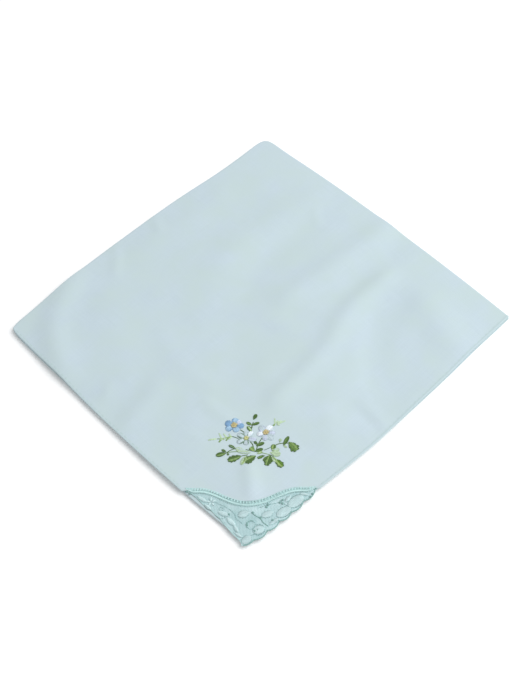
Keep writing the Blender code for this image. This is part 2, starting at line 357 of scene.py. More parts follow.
def cloth_piece():
    """The whole folded cloth: a middle surface moved both ways along its normals.

    The two faces share their points along the cut edge, where the thickness is nothing.
    """
    lines_x, edge_x = grid_lines(HALF - MAIN_FOLD_X, MAIN_ARC, COARSE_STEPS, FINE_STEPS)
    lines_y, edge_y = grid_lines(FIRST_FOLD_Y + HALF, FIRST_ARC, FINE_STEPS, COARSE_STEPS)
    flat_x, flat_y = np.meshgrid(lines_x, lines_y, indexing="ij")
    x, y, level = fold_cloth(flat_x, flat_y)
    plan = np.stack([x, y, flat_x, flat_y], axis=-1)
    from_x = np.argmin(np.abs(np.where(lines_x > 0, x[:, 0], np.inf) - seam(0)[0]))
    to_y = np.argmin(np.abs(np.where(lines_y < 0, y[-1], np.inf) - seam(1)[1]))
    fit_to_seam(plan, from_x, to_y, lines_x, lines_y)
    x, y = plan[..., 0], plan[..., 1]

    edge = np.minimum(edge_x[:, None], edge_y[None, :])
    thick = np.interp(edge, HEM[:, 0], HEM[:, 1])
    middle = np.stack([x, y, layer_height(x, y, level)], axis=-1)
    normal = np.cross(np.gradient(middle, axis=0), np.gradient(middle, axis=1))
    normal /= np.linalg.norm(normal, axis=-1, keepdims=True)
    half_wall = normal * thick[..., None] / 2

    rows, columns = edge.shape
    front = np.arange(rows * columns).reshape(rows, columns)
    back = front.copy()
    back[1:-1, 1:-1] = front.size + np.arange((rows - 2) * (columns - 2)).reshape(rows - 2, -1)
    points = np.concatenate([(middle + half_wall).reshape(-1, 3),
                             (middle - half_wall)[1:-1, 1:-1].reshape(-1, 3)])
    flat = np.concatenate([plan[..., 2:].reshape(-1, 2), plan[1:-1, 1:-1, 2:].reshape(-1, 2)])
    hem = np.concatenate([edge.ravel(), edge[1:-1, 1:-1].ravel()]) < HEM_STITCH_LINE

    def cells(index):
        return np.stack([index[:-1, :-1], index[1:, :-1], index[1:, 1:], index[:-1, 1:]], axis=-1)
    faces = np.concatenate([cells(front).reshape(-1, 4), cells(back).reshape(-1, 4)[:, ::-1]])
    piece = new_piece("linen_sheet", points, faces)
    add_attribute(piece, "hem", "FLOAT", hem)
    weave = piece.data.uv_layers.new(name="flat_cloth")
    corners = np.empty(len(piece.data.loops), np.int32)
    piece.data.loops.foreach_get("vertex_index", corners)
    weave.data.foreach_set("uv", (flat[corners] / FLAT_SIDE + 0.5).astype(np.float32).ravel())
    return piece


def linear(red, green, blue):
    """A colour as seen, 0 to 255 each, as the linear values that shaders use."""
    return tuple(((c / 255 + 0.055) / 1.055) ** 2.4 for c in (red, green, blue)) + (1.0,)


class Nodes:
    """Short calls that add shader nodes to one new material and link them."""

    def __init__(self, name):
        self.material = bpy.data.materials.new(name)
        self.material.use_nodes = True
        self.tree = self.material.node_tree
        self.shader = self.tree.nodes["Principled BSDF"]

    def add(self, kind, inputs=(), **settings):
        """A node with its settings, and its inputs as (socket, value or socket to link)."""
        node = self.tree.nodes.new(kind)
        for name, value in settings.items():
            setattr(node, name, value)
        for socket, value in inputs:
            if isinstance(value, bpy.types.NodeSocket):
                self.tree.links.new(value, node.inputs[socket])
            else:
                node.inputs[socket].default_value = value
        return node

    def math(self, operation, *values):
        return self.add("ShaderNodeMath", enumerate(values), operation=operation).outputs[0]

    def place(self):
        """Coordinates in the piece's own space."""
        return self.add("ShaderNodeTexCoord").outputs["Object"]

    def attribute(self, name, output):
        return self.add("ShaderNodeAttribute", attribute_name=name).outputs[output]

    def blend(self, share, first, second):
        """A colour between two: the first where share is 0."""
        mix = self.add("ShaderNodeMix", [(0, share), (6, first), (7, second)], data_type="RGBA")
        return mix.outputs[2]

    def noise(self, place, scale, detail=2.0):
        inputs = [("Vector", place), ("Scale", scale), ("Detail", detail)]
        return self.add("ShaderNodeTexNoise", inputs).outputs["Fac"]

    def stretched(self, place, scale):
        return self.add("ShaderNodeMapping", [("Vector", place), ("Scale", scale)]).outputs[0]

    def spread(self, value, low, high):
        """A value from low to high as one from 0 to 1."""
        inputs = [("Value", value), ("From Min", low), ("From Max", high)]
        return self.add("ShaderNodeMapRange", inputs).outputs[0]

    def finish(self, colour, height, depth, **constants):
        """Links the colour and a bump of the given depth, and sets the shader's own sockets."""
        self.tree.links.new(colour, self.shader.inputs["Base Color"])
        bump = self.add("ShaderNodeBump", [("Height", height), ("Distance", depth)])
        self.tree.links.new(bump.outputs[0], self.shader.inputs["Normal"])
        for name, value in constants.items():
            self.shader.inputs[name.replace("_", " ")].default_value = value
        return self.material


THREAD_PITCH, WEAVE_DEPTH = 0.36, 0.03
# Noise scales of the clouds and the greener places, and of a slub along and across its thread
CLOUD_SCALE, GREEN_SCALE, SLUB_ALONG, SLUB_ACROSS = 28.0, 75.0, 24, 900
# The noise values that are spread from the first colour to the second
TONE_SPAN, GREEN_SPAN = (1.1, 1.9), (0.34, 0.66)
LINEN_DEEP, LINEN_PALE = (184, 200, 208), (191, 207, 215)
# The greener places' colour; then the hem's darker, greener colour, partly the double cloth of
# the rolled hem and partly painted shade along the edges, and its share
LINEN_GREEN, LINEN_HEM_AND_SHADE, HEM_SHADE_TINT = (187, 204, 206), (180, 199, 202), 0.6


def linen_material():
    """Plain weave from two crossing waves, with thicker threads here and there both ways.

    The blue is cloudy: deeper and paler in broad patches, and greener in smaller ones.
    """
    nodes = Nodes("pale_blue_linen")
    flat = nodes.add("ShaderNodeUVMap", uv_map="flat_cloth").outputs[0]
    turns = 2 * math.pi * FLAT_SIDE / THREAD_PITCH
    grid = nodes.add("ShaderNodeSeparateXYZ", [(0, nodes.stretched(flat, (turns, turns, 1)))])
    weave = nodes.math("MULTIPLY", nodes.math("SINE", grid.outputs[0]),
                       nodes.math("SINE", grid.outputs[1]))
    slubs = nodes.math("ADD", *(nodes.noise(nodes.stretched(flat, scale), 1.0) for scale in
                                ((SLUB_ACROSS, SLUB_ALONG, 1), (SLUB_ALONG, SLUB_ACROSS, 1))))
    cloudy, greener = (nodes.noise(nodes.place(), scale, 3.0)
                       for scale in (CLOUD_SCALE, GREEN_SCALE))
    tone = nodes.spread(nodes.math("ADD", slubs, cloudy), *TONE_SPAN)
    colour = nodes.blend(tone, linear(*LINEN_DEEP), linear(*LINEN_PALE))
    colour = nodes.blend(nodes.spread(greener, *GREEN_SPAN), colour, linear(*LINEN_GREEN))
    # Painted shade along the hem, together with the double cloth's own darker tone
    hem = nodes.math("MULTIPLY", nodes.attribute("hem", "Fac"), HEM_SHADE_TINT)
    colour = nodes.blend(hem, colour, linear(*LINEN_HEM_AND_SHADE))
    height = nodes.math("ADD", nodes.math("MULTIPLY", weave, 0.5), slubs)
    return nodes.finish(colour, height, WEAVE_DEPTH * MM, Roughness=0.88, Sheen_Weight=0.15,
                        Sheen_Roughness=0.5, Specular_IOR_Level=0.25)


linen = cloth_piece()
linen.data.materials.append(linen_material())
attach(linen, "root")
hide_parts("linen_cloth")


# The hem stitches are short machine stitches in the cloth's own colour, just inside the rolled
# hem. They show on the top layer's two hemmed sides, and on the edge of the layer below it
# beside the lace.
STITCH_PITCH, STITCH_LENGTH, STITCH_RADIUS, STITCH_CROWN = 2.4, 1.9, 0.10, 0.03
# How far the rows stop short of the lace and of the folds
LACE_GAP, FOLD_GAP = 1, 3
HEM_THREAD = (190, 213, 209)
# The rings of a stitch as shares of its length, its height for its width, and how far its
# ends lie under the face
STITCH_RINGS, STITCH_FLATNESS, STITCH_SINK = np.array([0, 0.10, 0.5, 0.90, 1]), 0.75, 0.05
# The noise scale and span of a thread's uneven tone, and the depth of its fine strands
STRAND_SCALE, STRAND_SPAN, STRAND_DEPTH = 700.0, (0.3, 0.7), 0.02


def threads(centres, half_width, half_height, colour, sides=5):
    """Closed threads: a ring, an ellipse across the path, at each centre between two poles.

    centres is an array of threads x rings x 3, and the half width and height are one number or
    an array of threads x rings. Returns the points, quads, triangles, and the colour and twist
    of each point: the cosine and sine of its angle round the thread and the length along it.
    """
    centres = np.asarray(centres, float)
    count, rings = centres.shape[:2]
    along = np.gradient(centres, axis=1)
    across = np.stack([-along[..., 1], along[..., 0], np.zeros((count, rings))], axis=-1)
    across /= np.maximum(np.linalg.norm(across, axis=-1, keepdims=True), 1e-9)
    up = np.cross(along, across)
    up /= np.maximum(np.linalg.norm(up, axis=-1, keepdims=True), 1e-9)
    angle = 2 * math.pi * np.arange(sides) / sides
    width = np.broadcast_to(half_width, (count, rings))[:, 1:-1, None, None]
    height = np.broadcast_to(half_height, (count, rings))[:, 1:-1, None, None]
    ring = (centres[:, 1:-1, None] + np.cos(angle)[:, None] * width * across[:, 1:-1, None]
            + np.sin(angle)[:, None] * height * up[:, 1:-1, None])
    points = np.concatenate([centres[:, :1], ring.reshape(count, -1, 3), centres[:, -1:]], axis=1)

    step = np.linalg.norm(np.diff(centres, axis=1), axis=-1)
    length = np.concatenate([np.zeros((count, 1)), np.cumsum(step, axis=1)], axis=1)
    twist = np.zeros((count, points.shape[1], 3))
    twist[:, 1:-1, 0] = np.tile(np.cos(angle), rings - 2)
    twist[:, 1:-1, 1] = np.tile(np.sin(angle), rings - 2)
    twist[:, 1:-1, 2] = np.repeat(length[:, 1:-1], sides, axis=1)
    twist[:, -1, 2] = length[:, -1]

    first = 1 + np.arange(sides)
    after = 1 + (np.arange(sides) + 1) % sides
    start = np.arange(rings - 3)[:, None] * sides
    quads = np.stack([start + first, start + after, start + sides + after,
                      start + sides + first], axis=-1).reshape(-1, 4)
    end = (rings - 3) * sides
    last = np.full(sides, points.shape[1] - 1)
    triangles = np.concatenate([np.stack([np.zeros(sides, int), after, first], axis=-1),
                                np.stack([last, end + first, end + after], axis=-1)])
    offset = np.arange(count)[:, None, None] * points.shape[1]
    colours = np.broadcast_to(np.asarray(colour, float).reshape(-1, 1, 4),
                              (count, points.shape[1], 4))
    return (points.reshape(-1, 3), (quads + offset).reshape(-1, 4),
            (triangles + offset).reshape(-1, 3), colours.reshape(-1, 4), twist.reshape(-1, 3))


def stitches(starts, ends, face, colour, radius=0.15, crown=0.10, lift=0.0):
    """Straight stitches that leave a face of the cloth at one end and enter it at the other.

    Each is a thread of 5 rings whose middle stands on the face, raised by a half sine of
    height crown; its ends lie a little under the face. lift raises the whole stitch.
    """
    starts, ends = np.asarray(starts, float), np.asarray(ends, float)
    share = STITCH_RINGS[None, :, None]
    plan = starts[:, None] * (1 - share) + ends[:, None] * share
    rise = np.sin(math.pi * share[..., 0])
    stand = np.broadcast_to(np.reshape(lift, (-1, 1)), plan.shape[:2])
    z = face(plan[..., 0], plan[..., 1]) + stand + crown * rise - STITCH_SINK * (rise < 0.1)
    centres = np.concatenate([plan, z[..., None]], axis=-1)
    return threads(centres, radius, STITCH_FLATNESS * radius, colour)


def sewn_piece(name, bundles):
    """Joins bundles of threads into one mesh object, with their colours and twist."""
    starts = np.cumsum([0] + [len(bundle[0]) for bundle in bundles])
    moved = [(points, quads + start, triangles + start, colours, twist)
             for (points, quads, triangles, colours, twist), start in zip(bundles, starts)]
    points, quads, triangles, colours, twist = (np.concatenate(part) for part in zip(*moved))
    piece = new_piece(name, points, quads, triangles)
    add_attribute(piece, "thread_colour", "FLOAT_COLOR", colours)
    add_attribute(piece, "twist", "FLOAT_VECTOR", twist)
    return piece


def hem_row(start, end, level):
    """A row of stitches between two places on the flat cloth, on a layer's upper face."""
    start, end = np.array(start, float), np.array(end, float)
    length = np.hypot(*(end - start))
    along = np.arange(0, length - STITCH_LENGTH, STITCH_PITCH)
    rows = []
    for place in (along, along + STITCH_LENGTH):
        flat = start + place[:, None] / length * (end - start)
        rows.append(np.stack(fold_cloth(flat[:, 0], flat[:, 1])[:2], axis=-1))
    return stitches(*rows, lambda x, y: layer_height(x, y, level) + CLOTH_THICK / 2,
                    linear(*HEM_THREAD), STITCH_RADIUS, STITCH_CROWN)


def thread_material(name, strand_pitch, sheen, shadow=0.16):
    """Twisted thread: fine strands that wind round it once in each strand_pitch of length.

    shadow is the depth of the painted shade between its strands; it also darkens duller places,
    which lie at random.
    """
    nodes = Nodes(name)
    colour = nodes.attribute("thread_colour", "Color")
    parts = nodes.add("ShaderNodeSeparateXYZ", [(0, nodes.attribute("twist", "Vector"))]).outputs
    turn = nodes.math("MULTIPLY", parts[2], 2 * math.pi / strand_pitch)
    strands = nodes.math("ADD",
                         nodes.math("MULTIPLY", nodes.math("SINE", turn), parts[0]),
                         nodes.math("MULTIPLY", nodes.math("COSINE", turn), parts[1]))
    uneven = nodes.spread(nodes.noise(nodes.place(), STRAND_SCALE), *STRAND_SPAN)
    shade = nodes.math("ADD", nodes.math("MULTIPLY", nodes.spread(strands, -1, 1), 0.5),
                       nodes.math("MULTIPLY", uneven, 0.5))
    # Painted shade between the strands, mixed with duller places at random
    deep = nodes.blend(shadow, colour, (0, 0, 0, 1))
    return nodes.finish(nodes.blend(shade, deep, colour), strands, STRAND_DEPTH * MM,
                        Roughness=0.55, Sheen_Weight=sheen, Sheen_Roughness=0.4,
                        Specular_IOR_Level=0.4)


lace_start = seam(0)[0] - MAIN_FOLD_X + MAIN_ARC / 2
lace_end = FIRST_FOLD_Y - seam(1)[1] + FIRST_ARC / 2
right_line, near_line = MAIN_HALF - HEM_STITCH_LINE, FIRST_HALF - HEM_STITCH_LINE
hem_stitches = sewn_piece("hem_stitches", [
    hem_row((FOLD_GAP, -near_line), (lace_start - LACE_GAP, -near_line), 1),
    hem_row((right_line, LACE_GAP - lace_end), (right_line, -FOLD_GAP), 1),
    hem_row((lace_start + LACE_GAP, near_line), (right_line, near_line), 2 / 3),
])
hem_stitches.data.materials.append(thread_material("hem_thread", strand_pitch=0.5, sheen=0.1))
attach(hem_stitches, "root")


# The lace corner has a ground of fine hexagonal net in pale aqua thread. It is cut to the
# seam's curve and edged along its outer side with corded lobes, and it lies on the hemmed
# corner of the layers below.
NET_DEEP, NET_PALE = (164, 198, 200), (198, 223, 226)
CLUMP_SCALE, FUZZ_SCALE, FUZZ_DEPTH, NET_SPAN = 230.0, 5000.0, 0.03, (0.7, 1.3)
# Pitch and thickness of the net, the width of each hole as a share of its cell's, and the
# distance within which corners are one
NET_PITCH, NET_THICK, NET_HOLE, SAME_PLACE = 0.62, 0.13, 0.34, 0.02
# How far the net hangs below the layer, how far it sags on its near side and between which
# places, and the height and wave numbers of its ripple
LACE_DROP, LACE_SAG, SAG_FROM, SAG_TO = 0.10, 0.15, -66.0, -70.5
RIPPLE, RIPPLE_WAVES = 0.05, ((0.9, 0.5), (-0.3, 0.7))
# The notches between the lobes of the right side, from the seam to the tip, the lobes'
# heights, and the power that makes them fuller than a half sine
NOTCHES = ((72.9, -37.6), (73.1, -43.9), (73.3, -50.4), (72.8, -56.1), (72.6, -62.0),
           (71.9, -68.0), (70.5, -72.8))
LOBE_HEIGHTS, LOBE_POWER = (1.1, 1.1, 1.1, 1.1, 1.1, 0.6), 0.8
# The left side, from the tip to the seam, and how far below the seam the net starts
LEFT_SIDE = ((70.5, -72.8), (68.5, -71.9), (63.9, -71.8), (60.1, -71.4), (56.3, -70.9),
             (50.5, -70.8), (47.5, -71.2), (44.0, -71.0), (40.7, -71.2), (37.2, -72.2))
NET_BELOW_SEAM = 1.1


def lobes(notches, heights):
    """The seam's right end, then lobes between notches: half sines raised to a power."""
    share = np.linspace(0, 1, 15)[:-1, None]
    stand = np.sin(math.pi * share) ** LOBE_POWER
    parts = [[seam(1)]]
    for start, end, height in zip(np.array(notches[:-1]), np.array(notches[1:]), heights):
        side = np.array([start[1] - end[1], end[0] - start[0]]) / np.hypot(*(end - start))
        parts.append(start + share * (end - start) + height * stand * side)
    return np.concatenate(parts)


def lace_face(x, y):
    """Height of the middle of the net, which hangs a little below the top layer's middle.

    It sags by a smooth step towards its near side, and has a slight ripple.
    """
    share = np.clip((y - SAG_FROM) / (SAG_TO - SAG_FROM), 0, 1)
    first, second = (np.sin(a * x + b * y) for a, b in RIPPLE_WAVES)
    ripple = RIPPLE * first * second * (1 - share)
    return layer_height(x, y, 1) - LACE_DROP - LACE_SAG * share**2 * (3 - 2 * share) + ripple


def inside_of(points, outline):
    """True where a point is inside a closed outline: an odd number of sides lie to its right."""
    x, y = points[:, 0, None], points[:, 1, None]
    x0, y0 = outline.T
    x1, y1 = np.roll(outline, -1, axis=0).T
    level = np.where(y1 == y0, 1e-9, y1 - y0)
    crosses = ((y0 > y) != (y1 > y)) & (x < (x1 - x0) * (y - y0) / level + x0)
    return crosses.sum(axis=1) % 2 == 1


def nearest_on(points, outline):
    """The nearest place to each point on a closed outline."""
    start, side = outline[None], (np.roll(outline, -1, axis=0) - outline)[None]
    share = ((points[:, None] - start) * side).sum(-1) / np.maximum((side**2).sum(-1), 1e-9)
    places = start + np.clip(share, 0, 1)[..., None] * side
    nearest = np.hypot(*np.moveaxis(points[:, None] - places, -1, 0)).argmin(axis=1)
    return places[np.arange(len(points)), nearest]


def directions(turn):
    """Unit vectors at turns in radians: their cosines and sines."""
    return np.stack([np.cos(turn), np.sin(turn)], axis=-1)


def net_piece(outline):
    """Hexagonal net: six quads round each hole, between a hexagon and a smaller one in it.

    The hexagons share their corners, and corners outside the outline are drawn in to it.
    """
    low, high = outline.min(axis=0), outline.max(axis=0)
    reach = math.ceil(np.hypot(*(high - low)) / NET_PITCH)
    column, row = np.meshgrid(*[np.arange(-reach, reach + 1)] * 2)
    straight = np.stack([column + 0.5 * (row % 2), row * math.sqrt(3) / 2], -1).reshape(-1, 2)
    turned = np.stack([straight[:, 0] + straight[:, 1], straight[:, 1] - straight[:, 0]], -1)
    centres = (low + high) / 2 + NET_PITCH * turned / math.sqrt(2)
    centres = centres[inside_of(centres, outline)]

    angle = math.pi * (np.arange(6) / 3 - 1 / 12)
    ring = NET_PITCH / math.sqrt(3) * directions(angle)
    corners = (centres[:, None] + ring).reshape(-1, 2)
    _keys, first, cell = np.unique(np.round(corners / SAME_PLACE).astype(int), axis=0,
                                   return_index=True, return_inverse=True)
    corners, cell = corners[first], cell.reshape(-1, 6)
    outside = ~inside_of(corners, outline)
    corners[outside] = nearest_on(corners[outside], outline)
    middle = corners[cell].mean(axis=1, keepdims=True)
    holes = middle + NET_HOLE * (corners[cell] - middle)
    hole = len(corners) + np.arange(holes.size // 2).reshape(-1, 6)
    quads = np.stack([cell, np.roll(cell, -1, axis=1), np.roll(hole, -1, axis=1), hole], -1)
    plan = np.concatenate([corners, holes.reshape(-1, 2)])
    points = np.column_stack([plan, lace_face(plan[:, 0], plan[:, 1])])
    net = new_piece("lace_net", points, quads.reshape(-1, 4))
    wall = net.modifiers.new("Thread", "SOLIDIFY")
    wall.thickness = NET_THICK * MM
    wall.offset = 0
    return net


def net_material():
    """Fine pale thread with a slight fuzz, uneven in tone."""
    nodes = Nodes("aqua_net")
    cloudy = nodes.noise(nodes.place(), CLUMP_SCALE, 4.0)
    fuzz = nodes.noise(nodes.place(), FUZZ_SCALE)
    tone = nodes.spread(nodes.math("ADD", cloudy, fuzz), *NET_SPAN)
    colour = nodes.blend(tone, linear(*NET_DEEP), linear(*NET_PALE))
    return nodes.finish(colour, fuzz, FUZZ_DEPTH * MM, Roughness=0.8, Sheen_Weight=0.2,
                        Sheen_Roughness=0.5, Specular_IOR_Level=0.3)


lobed_edge = lobes(NOTCHES, LOBE_HEIGHTS)
plain_edge = np.concatenate([smooth_line(LEFT_SIDE, 60), [seam(0)]])
lace_edge = np.concatenate([lobed_edge, plain_edge])
heading_line = seam(np.linspace(0, 1, 60), NET_BELOW_SEAM)
lace_outline = np.concatenate([lace_edge, heading_line])
lace_net = net_piece(lace_outline)
lace_net.data.materials.append(net_material())
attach(lace_net, "root")
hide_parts("lace_corner")


# The lace's edge is a cord wrapped with thread, sewn round the lobes and the tip in a darker
# aqua, and a thinner pale one down its left side.
WRAP_PITCH, WRAP_SWELL, CORD_FLATNESS = 0.9, 0.22, 0.8
# Radii of the cord round the lobes, of the one down the side, and of a line's small stitches
LOBE_CORD, SIDE_CORD, LINE_CORD = 0.25, 0.15, 0.14
LACE_DARK, LACE_LOBE, LACE_LINE = (122, 162, 158), (136, 177, 172), (165, 203, 202)
LACE_COLOUR, LACE_BAND, LACE_PALE = (192, 229, 228), (206, 240, 239), (209, 235, 237)
# A fainter thread for the outlines on the left, used also for the painted shade of the pinholes
LACE_FAINT = (176, 211, 211)


def even_path(points, step):
    """The same path with points a set distance apart."""
    points = np.asarray(points, float)
    length = path_lengths(points)
    place = np.linspace(0, length[-1], max(int(length[-1] / step), 6))
    return np.stack([np.interp(place, length, axis) for axis in points.T], axis=-1)


def cord(points, face, radius, colour, lift=0.0, step=0.15, sides=8):
    """A wrapped cord along a plan path on a face: its radius swells and shrinks as a cosine."""
    path = even_path(points, step)
    z = face(path[:, 0], path[:, 1]) + lift
    wrap = 1 + WRAP_SWELL * np.cos(2 * math.pi * step * np.arange(len(path)) / WRAP_PITCH)
    width = (radius * wrap)[None]
    return threads(np.column_stack([path, z])[None], width, CORD_FLATNESS * width,
                   linear(*colour), sides)


lace_cord = sewn_piece("lace_edge_cord", [
    cord(lobed_edge, lace_face, LOBE_CORD, LACE_LOBE),
    cord(plain_edge, lace_face, SIDE_CORD, LACE_COLOUR),
])
lace_thread = thread_material("lace_thread", strand_pitch=0.6, sheen=0.3, shadow=0.24)
lace_cord.data.materials.append(lace_thread)
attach(lace_cord, "root")


# The heading joins the lace to the linen: a cord on the cut edge, bars of thread over a darker
# sunk cord that paints the shade of the pinholes between them, a second cord, a band of satin
# stitch and a line of small stitches below it.
# It narrows at both ends, where it is tied off with dark knots.
HEADING_ENDS, NARROWING = (0.02, 0.98), 0.075
# Two cords: distance below the seam and radius; then the darker cord sunk between them, as
# painted shade in the pinholes
HEADING_CORDS = ((0.22, 0.15), (1.22, 0.13))
PINHOLE_SHADE_LINE, PINHOLE_SHADE_RADIUS, PINHOLE_SHADE_SINK = 0.72, 0.28, 0.12
# Bars and satin stitches: pitch, where they start and end, slant, radius and crown
BARS = (1.17, 0.2, 1.25, 0, 0.26, 0.08)
BAND = (0.27, 1.30, 2.15, 0.2, 0.16, 0.06)
# Lines of small stitches: pitch, length, crown and lift; and where the one below the band is
LINE_PITCH, LINE_STITCH, LINE_CROWN, LINE_LIFT, BAND_LINE = 0.85, 0.62, 0.10, 0.06, 2.35
END_KNOTS = ((-23.6, 24.2), (-22.4, 23.3), (24.1, 22.6), (23.3, 21.4))
END_KNOT_RADIUS, KNOT_THREAD, KNOT_TURN = 0.45, 0.16, 0.2


def heading_place(share, below):
    """Plan of a place on the heading, which narrows over a short way at its two ends."""
    width = np.clip(np.minimum(share, 1 - share) / NARROWING, 0, 1)
    return seam(share, below * width)


def across_heading(colour, pitch, start, end, slant, radius, crown):
    """Stitches across the heading, a pitch apart, whose ends lie a slant further along it."""
    length = path_lengths(seam(np.linspace(0, 1, 400)))[-1]
    share = np.arange(HEADING_ENDS[0], HEADING_ENDS[1], pitch / length)
    return stitches(heading_place(share, start), heading_place(share + slant / length, end),
                    top_face, linear(*colour), radius, crown)


def knots(places, colour, radius):
    """Five short fat stitches on each place, turned a fifth of half a turn from each other."""
    half = radius * directions(math.pi * np.arange(5) / 5 + KNOT_TURN)
    middle = from_corner(*np.array(places, float).T)[:, None]
    return stitches((middle - half).reshape(-1, 2), (middle + half).reshape(-1, 2), top_face,
                    linear(*colour), KNOT_THREAD, KNOT_THREAD)


def lace_top(x, y):
    """Height of the upper face of the net."""
    return lace_face(x, y) + NET_THICK / 2


def dotted_line(path, colour=LACE_LINE):
    """Short stitches along a path with small gaps between them."""
    path = even_path(path, LINE_PITCH)
    ends = path[:-1] + (path[1:] - path[:-1]) * LINE_STITCH / LINE_PITCH
    return stitches(path[:-1], ends, lace_top, linear(*colour), LINE_CORD, LINE_CROWN, LINE_LIFT)


along_heading = np.linspace(*HEADING_ENDS, 240)
heading = sewn_piece("lace_heading", [
    *(cord(heading_place(along_heading, below), top_face, radius, LACE_COLOUR)
      for below, radius in HEADING_CORDS),
    # Painted shade in the pinholes: a darker cord sunk under the bars
    cord(heading_place(along_heading, PINHOLE_SHADE_LINE), top_face, PINHOLE_SHADE_RADIUS, LACE_FAINT,
         -PINHOLE_SHADE_SINK),
    across_heading(LACE_COLOUR, *BARS),
    across_heading(LACE_BAND, *BAND),
    dotted_line(heading_place(along_heading, BAND_LINE), LACE_COLOUR),
    knots(END_KNOTS, LACE_DARK, END_KNOT_RADIUS),
])
heading.data.materials.append(lace_thread)
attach(heading, "root")


# The lace's motifs are worked on the net: padded petals of satin stitch with a line of small
# stitches round each, rings, veins, a small star, a corded crescent and branch, and dark knots.
KNOT_RADIUS, SATIN_RADIUS, SATIN_CROWN = 0.5, 0.16, 0.16
# Petals: across, depth, length, width, and the turn of the long axis from across, in degrees
PETALS = {
    "right lobe": (18, 19.5, 7, 4.5, 40),
    "right end": (21, 22.5, 3, 1.2, -10),
    "beside the lobe": (15, 20.5, 3, 1.7, 50),
    "second lobe": (13.5, 15, 6, 4, 35),
    "third lobe": (7.5, 14, 4.5, 3, 25),
    "fourth lobe": (10, 11, 4, 1.7, 40),
    "middle": (-1.5, 14, 4, 3.3, 20),
    "left leaf": (-9, 14.5, 4.5, 2, -25),
    "lower left leaf": (-6, 11, 4.5, 2, -45),
    "lowest left leaf": (-4, 8, 3, 1.5, -60),
    "tip": (0, 3.5, 4, 3.4, 40),
    "beside the tip": (-3, 5.5, 3, 1.2, -35),
    "branch leaf": (-17.5, 21, 4.5, 1.5, -35),
    "far left leaf": (-15, 17.5, 3.5, 1.3, -40),
    "second ring": (4.5, 7.5, 4.2, 3.8, 20),
}
# Where the petals' satin starts and ends as shares of the half length, its pitch, its padding
# at the ends and more in the middle, and the place left of which the outlines are fainter
SATIN_END, SATIN_PITCH, PADDING, PADDING_RISE, FAINT_LEFT_OF = 0.97, 0.27, 0.03, 0.08, -2
# Veins: the places that each runs through, across and in depth
VEINS = (
    ((-15, 21), (-11.5, 19), (-8, 17), (-5, 14.5), (-4, 12), (-1.5, 10)),
    ((3.5, 16.5), (5.5, 17), (7, 18), (10, 18.5), (12.5, 19.5)),
    ((12, 20), (13.5, 18.5), (15, 17.5)),
    ((-8, 13), (-10, 12.5), (-12.5, 14.5)),
    ((-0.5, 5), (1.5, 5), (3, 6)),
)
# The branch: its places, and its cord's radius and lift
BRANCH = ((2, 14), (3.5, 13), (5, 12), (6, 10.5), (8, 9))
BRANCH_RADIUS, BRANCH_LIFT = 0.2, 0.06
# Rings: across, depth and radius; then the crescent on the first one, from and to in turns
RINGS = ((1.5, 9.5, 1.7), (4.5, 7.5, 2.3), (-10, 16.5, 0.9))
CRESCENT_FROM, CRESCENT_TO, CRESCENT_RADIUS, CRESCENT_LIFT = 0.17, 0.62, 0.24, 0.10
MOTIF_KNOTS = ((7.5, 18), (7, 17), (13, 20), (12, 19), (13, 18.5), (5, 12.5), (2, 14.5), (4, 7.5),
               (3, 7), (0, 9.5), (-7, 14), (9.5, 11.5))
# The star: across, depth, radius and points; then its stitches' spread in each point, their
# first turn, how far from the middle they start, and how much shorter the outer ones are
STAR = (-14, 19.5, 2.1, 5)
STAR_SPREAD, STAR_TURN, STAR_START, STAR_TAPER = 0.28, 0.4, 0.3, 1.6


def oval(across, depth, length, width, turn, share):
    """Plan of places on an oval: share goes from 0 to 1 round it."""
    angle, lean = 2 * math.pi * np.asarray(share), math.radians(turn)
    u, v = length / 2 * np.cos(angle), width / 2 * np.sin(angle)
    return from_corner(across + u * math.cos(lean) - v * math.sin(lean),
                       depth + u * math.sin(lean) + v * math.cos(lean))


def petal(across, depth, length, width, turn):
    """Satin stitches across an oval and a dotted line round it, fainter on the left side."""
    count = int(length / SATIN_PITCH)
    share = np.arccos(np.linspace(SATIN_END, -SATIN_END, count)) / (2 * math.pi)
    place = (across, depth, length, width, turn)
    padding = PADDING + PADDING_RISE * np.sin(2 * math.pi * share)
    return [stitches(oval(*place, share), oval(*place, 1 - share), lace_top,
                     linear(*LACE_PALE), SATIN_RADIUS, SATIN_CROWN, padding),
            dotted_line(oval(*place, np.linspace(0, 1, 60)),
                        LACE_FAINT if across < FAINT_LEFT_OF else LACE_LINE)]


def star(across, depth, radius, points):
    """Five stitches fan out over each point of the star."""
    turn = 2 * math.pi * np.repeat(np.arange(points), 5) / points + STAR_TURN
    lean = np.tile(np.linspace(-STAR_SPREAD, STAR_SPREAD, 5), points)
    reach = radius * (1 - STAR_TAPER * np.abs(lean))
    start = from_corner(across + STAR_START * np.cos(turn), depth + STAR_START * np.sin(turn))
    end = from_corner(across + reach * np.cos(turn + lean), depth + reach * np.sin(turn + lean))
    return stitches(start, end, lace_top, linear(*LACE_PALE), radius=0.17, crown=0.12, lift=0.08)


rings = [(across, depth, 2 * radius, 2 * radius, 0) for across, depth, radius in RINGS]
crescent = oval(*rings[0], np.linspace(CRESCENT_FROM, CRESCENT_TO, 30))
branch = from_corner(*smooth_line(BRANCH).T)
lace_motifs = sewn_piece("lace_motifs", [
    *(bundle for row in PETALS.values() for bundle in petal(*row)),
    *(dotted_line(from_corner(*smooth_line(vein).T)) for vein in VEINS),
    *(dotted_line(oval(*ring, np.linspace(0, 1, 50))) for ring in rings),
    cord(crescent, lace_top, CRESCENT_RADIUS, LACE_LOBE, CRESCENT_LIFT),
    cord(branch, lace_top, BRANCH_RADIUS, LACE_LOBE, BRANCH_LIFT),
    knots(MOTIF_KNOTS, LACE_LOBE, KNOT_RADIUS),
    star(*STAR),
])
lace_motifs.data.materials.append(lace_thread)
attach(lace_motifs, "root")


